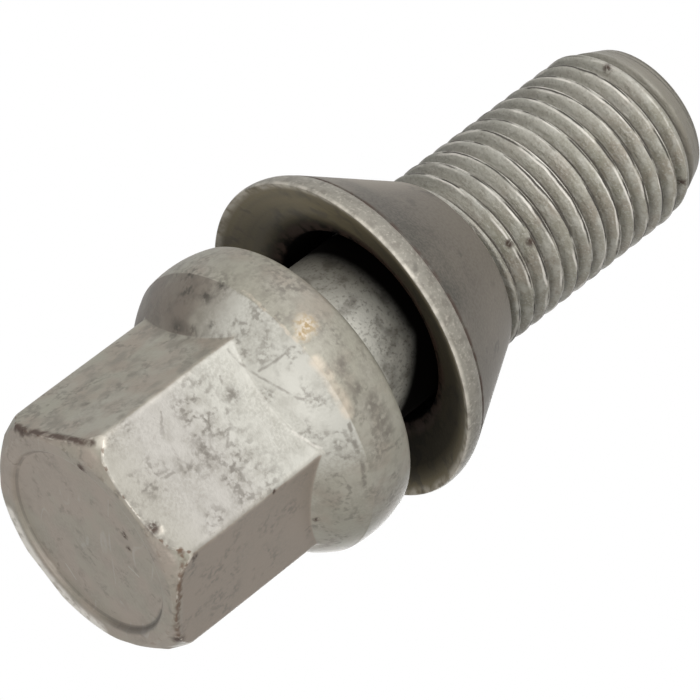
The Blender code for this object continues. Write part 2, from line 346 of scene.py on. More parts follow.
def head_rows(head, thread, angle):
    """Profile rows of the head, the flange and the neck, one profile for each column.

    The end chamfer and the domed shoulder are turned shapes and the flats between them are the
    hexagon, so the heights where they meet differ from column to column.
    """
    mid_flat = off_corner_angle(angle) / (SECTOR / 2)
    hexagon = hexagon_radius(angle, head.across_flats, head.corner_radius)
    worn_hexagon = hexagon_radius(angle, head.across_flats, head.corner_radius + head.corner_wear)
    face = head.face_diameter / 2 + head.face_shift * np.maximum(np.sin(angle), 0.0)
    face = np.minimum(face, worn_hexagon - CHAMFER_LEAST * MM)
    ease = head.ease_diameter / 2
    recess = head.recess_diameter / 2
    depth = head.recess_depth
    slope = math.tan(head.chamfer_angle)
    steep = math.tan(head.ease_angle)
    ease_height = (ease - face) * slope
    ease_radius = np.minimum(ease, face + EASE_SHARE * (worn_hexagon - face))
    edge_height = np.where(worn_hexagon < ease, (worn_hexagon - face) * slope,
                           ease_height + (worn_hexagon - ease) * steep)

    band_start = head.shoulder_start + head.shoulder_height
    band_end = band_start + head.flange_height
    seat_height = band_end + head.flange_edge
    flange = head.flange_diameter / 2
    top = (flange - head.flange_top_drop, band_start)
    foot = (head.shoulder_start_diameter / 2, head.shoulder_start)
    centre, bend = arc_centre(top, foot, head.shoulder_bulge)
    first = np.arcsin(np.clip((hexagon - centre[0]) / bend, -1.0, 1.0))
    last = math.asin((top[0] - centre[0]) / bend)

    crest = thread.diameter / 2
    neck = crest - PITCH_DEPTH * thread.pitch
    seat_edge = flange - head.flange_seat_drop - head.flange_edge
    seat_inner = neck + head.neck_fillet
    ball_centre = seat_height - sphere_height(head.ball_radius, seat_edge)
    fillet_height = ball_centre + sphere_height(head.ball_radius, seat_inner)

    # The last number of each corner is its wear; below zero it is painted shade, in the recess's corner, at
    # the flange's seat edge and round the neck's fillet
    corners = [
        (0.0, depth, 0.0, 9, 0.0),
        (recess - depth / 2, depth, RECESS_ROUND * MM, 2, -0.5),
        (recess, 0.0, RECESS_ROUND * MM, 3, 0.35),
        (face, 0.0, FACE_ROUND * MM, 2, 0.5),
        (ease_radius, (ease_radius - face) * slope, EASE_ROUND * MM, 2, 0.0),
        (worn_hexagon, edge_height, END_ROUND * MM, 3, 1.0),
        (0.3 * worn_hexagon + 0.7 * hexagon, edge_height + WEAR_FADING * MM, 0.0, 2, 0.0),
        (hexagon, edge_height + WEAR_GONE * MM, 0.0, 10, 0.0),
    ]
    junction = (centre[0] + bend * np.sin(first), centre[1] - bend * np.cos(first))
    corners.append((*junction, (SHOULDER_ROUND - SHOULDER_ROUND_FALL * mid_flat) * MM, 1, 0.0))
    for share in np.linspace(0, 1, 11)[2:-1]:
        along = first + (last - first) * share
        corners.append((centre[0] + bend * np.sin(along), centre[1] - bend * np.cos(along), 0.0, 1, 0.0))
    corners.append((top[0] + RIDGE_START[0] * MM, top[1] + RIDGE_START[1] * MM, 0.05 * MM, 1, 0.4))
    band_foot = (flange - head.flange_seat_drop, band_end)
    band_top = (top[0] + RIDGE_END[0] * MM, top[1] + RIDGE_END[1] * MM)
    bulge = (head.flange_seat_drop + head.flange_top_drop) / 2
    corners.append((*band_top, 0.04 * MM, 1, 0.5))
    corners += [(*place, 0.0, 1, 0.0) for place in reversed(arc_rows(band_foot, band_top, bulge, 9))]
    corners.append((*band_foot, 0.15 * MM, 1, 0.1))
    corners.append((seat_edge, seat_height, 0.12 * MM, 1, -0.9))
    for radius in np.linspace(seat_edge, seat_inner, 7)[1:-1]:
        corners.append((radius, ball_centre + sphere_height(head.ball_radius, radius), 0.0, 1, 0.0))
    fillet_top = (neck, fillet_height + head.neck_fillet)
    fillet_bulge = head.neck_fillet * (1 - math.sqrt(0.5))
    corners.append((seat_inner, fillet_height, 0.0, 1, -0.5))
    corners += [(*place, 0.0, 1, -0.5) for place in arc_rows((seat_inner, fillet_height), fillet_top,
                                                             fillet_bulge, 6)]
    corners.append((*fillet_top, 0.0, 9, -0.3))
    corners.append((neck, thread.start - thread.runout, 0.0, 1, 0.0))
    return rounded_rows(corners)


def corner_rows(head, rows, angle):
    """How near each point of the head is to one of the hexagon's long edges, from 0 to 1."""
    near = np.clip(1 - off_corner_angle(angle) * rows[:, 0] / (2 * head.corner_radius), 0.0, 1.0)
    off_hexagon = np.abs(rows[:, 0] - hexagon_radius(angle, head.across_flats, head.corner_radius))
    below_dome = rows[:, 1] < head.shoulder_start + head.shoulder_height / 2
    return near * (off_hexagon < CORNER_REACH * MM) * below_dome



def seam_strength(turns):
    """How deep the rolling seam is along the crest: slow waves of the turns, cut off at nothing."""
    waves = sum(share * np.sin(turns * rate + start) for share, rate, start in SEAM_WAVES)
    return np.clip(SEAM_MEAN + SEAM_CHANGE * waves, 0.0, SEAM_MOST)


def thread_rows(thread, angle):
    """Rows of the thread, which follow its helix: each row climbs by one pitch in a turn.

    The radius falls from the crest along 60 degree flanks to the root. It stays under the run-in
    cone at the neck and under the cone of the tip. Rows past either end are clamped to it, where
    they fall together and are merged. The dictionary holds how near the crest a point lies, how far
    it is across the crest's middle and along the helix, and, as a value below zero for painted
    shade, how deep in the root it is.
    """
    pitch = thread.pitch
    crest = thread.diameter / 2
    neck = crest - PITCH_DEPTH * pitch
    root = crest - ROOT_DEPTH * pitch
    low = thread.start - thread.runout
    high = thread.bolt_length - thread.tip_round
    first = thread.start - thread.start_azimuth / math.tau * pitch
    turn_count = math.ceil((high - low) / pitch) + 2
    lowest = first - math.ceil((first - low) / pitch + 1) * pitch
    base = lowest + pitch * (np.arange(turn_count)[:, None] + np.array(THREAD_ROWS)[None]).reshape(-1, 1)
    height = np.clip(base + pitch * angle[None] / math.tau, low, high)
    turns = (height - first) / pitch - angle[None] / math.tau
    phase = np.abs(turns - np.round(turns))

    share = np.maximum((phase - CREST_HALF) / (0.5 - ROOT_HALF - CREST_HALF), 0.0)
    bend = np.clip((share - ROOT_BEND) / ROOT_BEND_SPAN, 0.0, 1.0)
    flank = (crest - root) * (np.minimum(share, ROOT_BEND) + (1 - ROOT_BEND) * (1 - (1 - bend) ** 2))
    seam = np.clip(1 - phase * pitch / (thread.seam_width / 2), 0.0, 1.0)
    seam = seam * seam_strength(turns.round() + angle[None] / math.tau)
    rolled = crest - flank - thread.seam_depth * seam
    tip_slope = (crest - thread.tip_diameter / 2) / thread.tip_chamfer
    run_in = neck + (height - low) * (crest - neck) / thread.runout
    tip = thread.tip_diameter / 2 + (thread.bolt_length - height) * tip_slope
    core = neck - (height - low) * (neck - root) / thread.runout
    radius = np.maximum(core, np.minimum(np.minimum(rolled, run_in), tip))
    under_cone = np.clip((np.minimum(run_in, tip) - rolled) / (CONE_FADE * MM), 0.0, 1.0)
    marks = {
        "crest": np.clip((CREST_REACH - phase) / CREST_FADE, 0.0, 1.0) * under_cone,
        "across": (turns - np.round(turns)) * pitch,
        "wear_and_shade": -np.clip((phase - ROOT_SHADE) / (0.5 - ROOT_SHADE), 0.0, 1.0) * under_cone,
        "along": (np.round(turns) * math.tau + angle[None]) * crest,
    }
    return np.stack([radius, height], axis=1), marks


def tip_rows(thread):
    """Rows over the rounded edge of the tip and across its flat to the axis."""
    slope = (thread.diameter - thread.tip_diameter) / 2 / thread.tip_chamfer
    back = thread.tip_round
    corners = [
        (thread.tip_diameter / 2 + back * slope, thread.bolt_length - back, 0.0, 1, 0.0),
        (thread.tip_diameter / 2, thread.bolt_length, thread.tip_round, 5, 0.6),
        (0.0, thread.bolt_length, 0.0, 1, 0.0),
    ]
    return rounded_rows(corners)


def collar_rows(collar, thread, ball):
    """Closed profile of the seat collar, in its own frame: its small end is at height zero."""
    crest = thread.diameter / 2
    small = collar.small_diameter / 2
    mouth = collar.mouth_diameter / 2
    bore = crest - collar.hold / 2
    bottom = -collar.height
    band_top = bottom + collar.band_height
    cone_large = small - band_top * math.tan(collar.cone_angle / 2)
    cup_outer = mouth - collar.mouth_edge
    cup_edge = bottom + collar.mouth_edge / 3
    centre = cup_edge - sphere_height(ball, cup_outer)
    cup_inner = collar.cup_inner / 2
    band_start = (cone_large + collar.band_step, band_top - collar.band_step)
    band_end = (mouth, bottom + collar.mouth_edge)
    groove = collar.groove_depth
    corners = [
        (bore, -collar.bore_edge, 0.0, 2, 0.0),
        (bore + collar.bore_edge, 0.0, 0.05 * MM, 2, 0.4),
        (small, 0.0, 0.12 * MM, 22, 0.8),
        # Below zero: painted shade in the corners of the turned line
        (cone_large - groove * GROOVE_SIDE_SHARE, band_top + GROOVE_SIDE * MM, 0.04 * MM, 1, -0.5),
        (cone_large - groove, band_top, 0.02 * MM, 1, -1.0),
        (*band_start, 0.08 * MM, 1, 0.7),
    ]
    corners += [(*place, 0.0, 1, 0.0) for place in arc_rows(band_start, band_end, collar.band_step, 7)]
    corners += [
        (*band_end, 0.1 * MM, 1, 0.0),
        (mouth - collar.mouth_edge / 3, bottom, 0.06 * MM, 1, 0.0),
        (cup_outer, cup_edge, 0.08 * MM, 1, 0.0),
    ]
    for radius in np.linspace(cup_outer, cup_inner, 15)[1:-1]:
        corners.append((radius, centre + sphere_height(ball, radius), 0.0, 1, 0.0))
    corners += [
        (cup_inner, centre + sphere_height(ball, cup_inner), 0.15 * MM, 3, 0.3),
        (bore, -collar.land, 0.1 * MM, 4, 0.0),
        (bore, -collar.bore_edge, 0.0, 1, 0.0),
    ]
    return rounded_rows(corners)


def skin(name, points, attributes, material):
    """Closed mesh over a grid of points, rows by columns, whose first and last columns coincide.

    Points that fall together, at the seam, at the poles and where rows are clamped, are merged.
    """
    rows, columns = points.shape[:2]
    index = np.arange(rows * columns).reshape(rows, columns)
    quads = np.stack([index[:-1, :-1], index[:-1, 1:], index[1:, 1:], index[1:, :-1]], axis=-1)
    mesh = bpy.data.meshes.new(name)
    mesh.from_pydata(points.reshape(-1, 3), [], quads.reshape(-1, 4))
    for key, values in attributes.items():
        layer = mesh.attributes.new(key, "FLOAT", "POINT")
        layer.data.foreach_set("value", np.broadcast_to(values, (rows, columns)).astype(np.float32).ravel())
    shape = bmesh.new()
    shape.from_mesh(mesh)
    bmesh.ops.remove_doubles(shape, verts=shape.verts, dist=MERGE_DISTANCE * MM)
    bmesh.ops.dissolve_degenerate(shape, edges=shape.edges, dist=SLIVER_LENGTH * MM)
    bmesh.ops.recalc_face_normals(shape, faces=shape.faces)
    shape.to_mesh(mesh)
    shape.free()
    mesh.shade_smooth()
    mesh.materials.append(material)
    item = bpy.data.objects.new(name, mesh)
    bpy.context.scene.collection.objects.link(item)
    return item


def turned_points(rows, angle):
    """Cartesian points of (radius, height) rows: the radius turned to its column's angle."""
    radius = np.broadcast_to(rows[:, 0], (len(rows), angle.shape[-1]))
    height = np.broadcast_to(rows[:, 1], (len(rows), angle.shape[-1]))
    return np.stack([radius * np.cos(angle), radius * np.sin(angle), height], axis=-1)


def add_node(tree, kind, settings=(), inputs=()):
    """Adds a node with its settings; each input is a plain value or the socket it is linked to."""
    node = tree.nodes.new(kind)
    for name, value in dict(settings).items():
        setattr(node, name, value)
    for key, value in dict(inputs).items():
        if isinstance(value, bpy.types.NodeSocket):
            tree.links.new(value, node.inputs[key])
        else:
            node.inputs[key].default_value = value
    return node


# Sizes of the noise that pushes spots and strokes about, and how far it pushes spots, in millimetres
SPOT_NOISE = 0.35
SPOT_RAGGEDNESS = 0.22
STROKE_NOISE = 0.8

# Places of a node's sockets that share a name with others
MIX_COLOUR = {"factor": 0, "under": 6, "over": 7, "result": 2}
MIX_NUMBER = {"factor": 0, "under": 2, "over": 3, "result": 0}


class Finish:
    """A material built up in layers over its first colour, roughness and share of bare metal.

    Masks run from 0 to 1. Lengths given to a pattern are in millimetres on the object. Cycles holds
    only so many values of a material at a time, so chains are folded mark by mark, and no Math or
    linear Map Range node clamps by its own setting.
    """

    def __init__(self, name, colour, roughness, metallic):
        self.material = bpy.data.materials.new(name)
        self.material.use_nodes = True
        self.tree = self.material.node_tree
        self.shader = self.tree.nodes["Principled BSDF"]
        self.layers = {"Base Color": (*colour, 1.0), "Roughness": roughness, "Metallic": metallic}
        self.relief = []
        self.place = self.add("ShaderNodeTexCoord").outputs["Object"]

    def add(self, kind, settings=(), inputs=()):
        """Adds a node to this material."""
        return add_node(self.tree, kind, settings, inputs)

    def centre(self, location, turned):
        """Moves and turns the patterns' frame, for a piece that doesn't stand square on the origin."""
        shifted = self.add("ShaderNodeMapping", {"vector_type": "TEXTURE"},
                           {"Vector": self.place, "Location": location, "Rotation": turned})
        self.place = shifted.outputs[0]

    def between(self, value, start, full, amount=1.0):
        """Mask that rises smoothly from 0 at one value to the amount at another."""
        node = self.add("ShaderNodeMapRange", {"interpolation_type": "SMOOTHSTEP"},
                        {"Value": value, "From Min": start, "From Max": full, "To Max": amount})
        return node.outputs[0]

    def along(self, direction, start, full, amount=1.0):
        """Mask that rises along a direction, between two distances from the origin."""
        reach = self.add("ShaderNodeVectorMath", {"operation": "DOT_PRODUCT"},
                         {0: self.place, 1: Vector(direction).normalized()})
        return self.between(reach.outputs["Value"], start * MM, full * MM, amount)

    def from_axis(self):
        """The pattern place without its height."""
        flat = self.add("ShaderNodeVectorMath", {"operation": "MULTIPLY"},
                        {0: self.place, 1: (1.0, 1.0, 0.0)})
        return flat.outputs[0]

    def facing(self, azimuth, start, full, amount=1.0):
        """Mask that rises round the axis towards an azimuth, between two angles off it, in degrees."""
        way = (math.cos(math.radians(azimuth)), math.sin(math.radians(azimuth)), 0.0)
        unit = self.add("ShaderNodeVectorMath", {"operation": "NORMALIZE"}, {0: self.from_axis()})
        near = self.add("ShaderNodeVectorMath", {"operation": "DOT_PRODUCT"}, {0: unit.outputs[0], 1: way})
        return self.between(near.outputs["Value"], math.cos(math.radians(start)),
                            math.cos(math.radians(full)), amount)

    def out(self, start, full, amount=1.0):
        """Mask that rises with the distance from the axis."""
        reach = self.add("ShaderNodeVectorMath", {"operation": "LENGTH"}, {0: self.from_axis()})
        return self.between(reach.outputs["Value"], start * MM, full * MM, amount)

    def combined(self, operation, *masks):
        """One mask from several: their product, their sum, their greatest or their least."""
        result = masks[0]
        for mask in masks[1:]:
            result = self.add("ShaderNodeMath", {"operation": operation}, {0: result, 1: mask}).outputs[0]
        return result

    def apart(self, value, other):
        """How far one value is from another."""
        off = self.add("ShaderNodeMath", {"operation": "SUBTRACT"}, {0: value, 1: other})
        return self.add("ShaderNodeMath", {"operation": "ABSOLUTE"}, {0: off.outputs[0]}).outputs[0]

    def noise(self, size, seed, detail, stretch, turned, place=None):
        """Noise with features of about a size, shrunk by the stretch along the axes of a turned frame."""
        spread = self.add("ShaderNodeMapping", inputs={"Vector": place or self.place, "Rotation": turned})
        drawn = self.add("ShaderNodeMapping", inputs={"Vector": spread.outputs[0], "Scale": stretch,
                                                      "Location": (seed, 1.7 * seed, -seed)})
        noise = self.add("ShaderNodeTexNoise", inputs={"Vector": drawn.outputs[0], "Scale": 1 / (size * MM),
                                                       "Detail": detail})
        return noise.outputs["Fac"]

    def blotches(self, size, start, full, amount=1.0, seed=0.0, detail=2.0, stretch=(1.0, 1.0, 1.0),
                 turned=(0.0, 0.0, 0.0), place=None):
        """Patches of about a size: noise whose values between start and full fade in."""
        return self.between(self.noise(size, seed, detail, stretch, turned, place), start, full, amount)

    def wandering(self, size, reach, seed=0.0):
        """The pattern place, pushed about by noise of a size, by up to a reach."""
        shifted = self.add("ShaderNodeVectorMath", {"operation": "ADD"},
                           {0: self.place, 1: (seed, -seed, seed)})
        noise = self.add("ShaderNodeTexNoise", inputs={"Vector": shifted.outputs[0],
                                                       "Scale": 1 / (size * MM)})
        middle = self.add("ShaderNodeVectorMath", {"operation": "SUBTRACT"},
                          {0: noise.outputs["Color"], 1: (0.5, 0.5, 0.5)})
        push = self.add("ShaderNodeVectorMath", {"operation": "MULTIPLY_ADD"},
                        {0: middle.outputs[0], 1: (2 * reach * MM,) * 3, 2: self.place})
        return push.outputs[0]

    def veins(self, size, width, amount=1.0, seed=0.0, detail=2.0, stretch=(1.0, 1.0, 1.0),
              turned=(0.0, 0.0, 0.0)):
        """Thin ragged marks of a width: where noise of a size crosses its middle value."""
        noise = self.noise(size, seed, detail, stretch, turned)
        return self.between(self.apart(noise, 0.5), 0.6 * width / size, 0.15 * width / size, amount)

    def beside(self, across, noise, reach):
        """Distance from a line that noise pushes across by up to a reach."""
        push = self.add("ShaderNodeMapRange", {"clamp": False},
                        {"Value": noise, "From Min": 0.25, "From Max": 0.75,
                         "To Min": -reach * MM, "To Max": reach * MM})
        return self.apart(across, push.outputs[0])

    def spots(self, places, edge=0.5, seed=0.0):
        """Round marks at places with radii, ragged by noise, each fading in over its edge share."""
        place = self.wandering(SPOT_NOISE, SPOT_RAGGEDNESS, seed)
        marks = []
        for x, y, z, radius in places:
            reach = self.add("ShaderNodeVectorMath", {"operation": "DISTANCE"},
                             {0: place, 1: (x * MM, y * MM, z * MM)})
            mark = self.between(reach.outputs["Value"], radius * MM, radius * (1 - edge) * MM)
            marks = [self.combined("MAXIMUM", *marks, mark)]
        return marks[0]

    def strokes(self, paths, width, seed=0.0, wobble=0.12):
        """Drawn marks along paths: near each straight piece, from its half width inwards."""
        place = self.wandering(STROKE_NOISE, wobble, seed)
        nearest = []
        for path in paths:
            for start, end in zip(path[:-1], path[1:]):
                span = (Vector(end) - Vector(start)) * MM
                offset = self.add("ShaderNodeVectorMath", {"operation": "SUBTRACT"},
                                  {0: place, 1: Vector(start) * MM})
                share = self.add("ShaderNodeVectorMath", {"operation": "DOT_PRODUCT"},
                                 {0: offset.outputs[0], 1: span / span.length_squared})
                held = self.combined("MAXIMUM", self.combined("MINIMUM", share.outputs["Value"], 1.0), 0.0)
                foot = self.add("ShaderNodeVectorMath", {"operation": "SCALE"}, {0: span, "Scale": held})
                reach = self.add("ShaderNodeVectorMath", {"operation": "DISTANCE"},
                                 {0: offset.outputs[0], 1: foot.outputs[0]})
                nearest = [self.combined("MINIMUM", *nearest, reach.outputs["Value"])]
        return self.between(nearest[0], width * MM / 2, width * MM / 8)

    def lay(self, colour, *masks, roughness=None, metallic=None):
        """Covers what is under it, as far as the product of the masks says, in the ways given."""
        mask = self.combined("MULTIPLY", *masks)
        for name, value in (("Base Color", (*colour, 1.0)), ("Roughness", roughness),
                            ("Metallic", metallic)):
            if value is None:
                continue
            kind, places = ("RGBA", MIX_COLOUR) if name == "Base Color" else ("FLOAT", MIX_NUMBER)
            mix = self.add("ShaderNodeMix", {"data_type": kind},
                           {places["factor"]: mask, places["under"]: self.layers[name],
                            places["over"]: value})
            self.layers[name] = mix.outputs[places["result"]]

    def emboss(self, mask, rise):
        """Raises the surface by a number of millimetres where the mask is full."""
        part = self.add("ShaderNodeMath", {"operation": "MULTIPLY"}, {0: mask, 1: rise})
        self.relief.append(part.outputs[0])

    def done(self):
        """Links the layers and the relief to the shader and returns the material."""
        for name, value in self.layers.items():
            if isinstance(value, bpy.types.NodeSocket):
                self.tree.links.new(value, self.shader.inputs[name])
            else:
                self.shader.inputs[name].default_value = value
        height = self.combined("ADD", *self.relief)
        bump = self.add("ShaderNodeBump", inputs={"Height": height, "Distance": MM})
        self.tree.links.new(bump.outputs[0], self.shader.inputs["Normal"])
        return self.material


# Marks on the bolt in millimetres: paths of strokes, and spots as place and radius
CHAMFER_LINE = [[(-8.86, -1.09, 0.49), (-8.54, -1.76, 0.38), (-7.74, -3.24, 0.4), (-6.19, -5.94, 0.56),
                 (-5.42, -7.25, 0.66), (-4.84, -7.82, 0.97)]]
CHAMFER_CRACK = [[(4.23, -8.24, 1.07), (5.02, -7.63, 0.84), (5.42, -7.19, 0.58), (6.17, -5.96, 0.46),
                  (6.93, -4.65, 0.37), (7.67, -3.37, 0.24), (8.58, -1.49, 0.35)]]
RECESS_SHADE = [[(4.2, 5.7, 0.03), (5.5, 4.5, 0.03), (6.32, 3.4, 0.1), (6.95, 1.7, 0.1), (7.05, -0.5, 0.2),
                 (6.7, -2.0, 0.3)]]
FACE_RIM_HIGHLIGHT = [[(-4.75, 6.6, 0.0), (-2.6, 7.75, 0.0), (0.0, 8.1, 0.0), (2.9, 7.65, 0.0), (5.3, 6.3, 0.0)]]
FRONT_LINES = [[(-3.26, -8.33, 11.14), (-2.3, -8.33, 10.59), (-1.6, -8.33, 10.17), (-0.28, -8.33, 9.45),
                (0.68, -8.33, 8.2)],
               [(-3.82, -8.33, 6.1), (-3.08, -8.33, 5.56), (-2.38, -8.33, 5.15), (-0.74, -8.33, 4.92),
                (0.36, -8.33, 5.4)],
               [(-0.33, -8.33, 1.4), (-0.35, -8.33, 2.87), (-0.15, -8.33, 4.12)]]
SHOULDER_RIDGE_HIGHLIGHT = [[(2.51, -8.36, 12.85), (3.79, -8.44, 13.29), (4.5, -8.53, 13.66)]]
SHOULDER_LINES = [[(-4.4, -8.32, 12.77), (-3.46, -8.33, 12.8), (-2.53, -8.44, 12.96), (-1.16, -9.08, 13.22),
                   (-0.06, -9.51, 13.52), (0.96, -9.83, 13.88), (1.39, -10.04, 14.16),
                   (1.83, -10.29, 14.55), (2.11, -10.57, 15.01)],
                  [(-2.01, -8.98, 13.26), (-1.9, -9.53, 13.72), (-1.86, -9.92, 14.1), (-1.85, -10.25, 14.5),
                   (-1.98, -10.8, 15.35)]]
RUBBED_EDGE = [[(-0.22, -11.21, 15.84), (1.02, -11.18, 15.95), (2.22, -11.0, 15.9), (3.68, -10.58, 15.79)]]
WARM_EDGE = [[(-6.85, -8.91, 15.99), (-6.06, -9.45, 15.93), (-5.23, -9.92, 15.83), (-4.38, -10.32, 15.79),
              (-2.63, -10.88, 15.74), (-1.1, -11.14, 15.74)]]
DARK_EDGE = [[(4.31, -10.21, 15.55), (5.72, -9.38, 15.37), (7.22, -8.32, 15.41), (8.29, -7.13, 15.27)]]
YELLOW_SPOTS = [(-2.52, -10.98, 17.04, 1.2), (-2.2, -11.05, 16.4, 0.8)]
RUST_SPOTS = [(-4.2, -5.22, 52.23, 0.6), (5.43, -3.58, 52.52, 0.6), (-4.0, -6.28, 0.0, 0.6),
              (-8.34, -2.01, 0.28, 0.6), (1.14, -4.55, 0.35, 0.45), (2.06, -3.86, 0.35, 0.35),
              (8.78, -1.14, 0.44, 0.8), (1.95, -8.33, 0.54, 0.7), (8.13, -3.21, 12.93, 0.4),
              (1.39, -6.65, 36.0, 0.5), (2.2, -6.48, 37.56, 0.5), (5.05, -7.9, 1.81, 0.45),
              (4.88, -8.16, 9.11, 0.3)]
DARK_SPOTS = [(-1.83, -8.33, 10.93, 1.0), (0.06, -8.33, 6.8, 1.5), (-6.89, -4.72, 7.72, 0.6),
              (-7.19, -4.19, 4.12, 0.6), (5.01, -9.13, 14.49, 0.6), (10.2, -2.01, 14.48, 0.6),
              (-1.24, -8.08, 0.04, 0.45)]
STAIN_CORES = [(-9.92, -4.98, 15.57, 1.1), (-9.13, -5.19, 14.61, 1.3), (-8.11, -6.78, 14.71, 0.9),
               (-10.66, -3.44, 15.76, 0.8), (-8.02, -7.68, 15.58, 0.7), (-7.64, -4.17, 12.9, 1.0),
               (-6.79, -5.48, 12.92, 0.8), (-6.27, -7.13, 13.51, 0.5)]
BAND_SMEAR = [(1.04, -11.26, 17.27, 0.9), (2.84, -10.94, 17.29, 1.0), (4.28, -10.44, 17.73, 1.4),
              (5.38, -9.9, 17.92, 1.4), (6.37, -9.29, 17.98, 1.0)]
BRIGHT_SPOTS = [(-4.5, -8.32, 1.3, 0.7), (2.28, -8.33, 0.8, 0.5)]
SCRATCHES = [[(0.33, 5.34, 0.35), (1.54, 5.54, 0.35)], [(3.0, -2.19, 0.35), (3.92, -2.47, 0.35)]]

# Where the painted shadow of the collar on the neck begins, in millimetres: the way across it,
# where it starts along that way and where it is full
SHADOW_EDGES = [((0.0, 0.0, 1.0), 24.7, 26.3), ((0.36, 0.36, 1.0), 20.9, 22.3)]


# Roughness and share of bare metal of rust, of rubbed edges and of the painted black shade, which
# counts as metal because anything else would mirror the white world
RUSTED = {"roughness": 0.75, "metallic": 0.0}
RUBBED = {"roughness": 0.42, "metallic": 0.3}
UNLIT = {"roughness": 0.9, "metallic": 1.0}


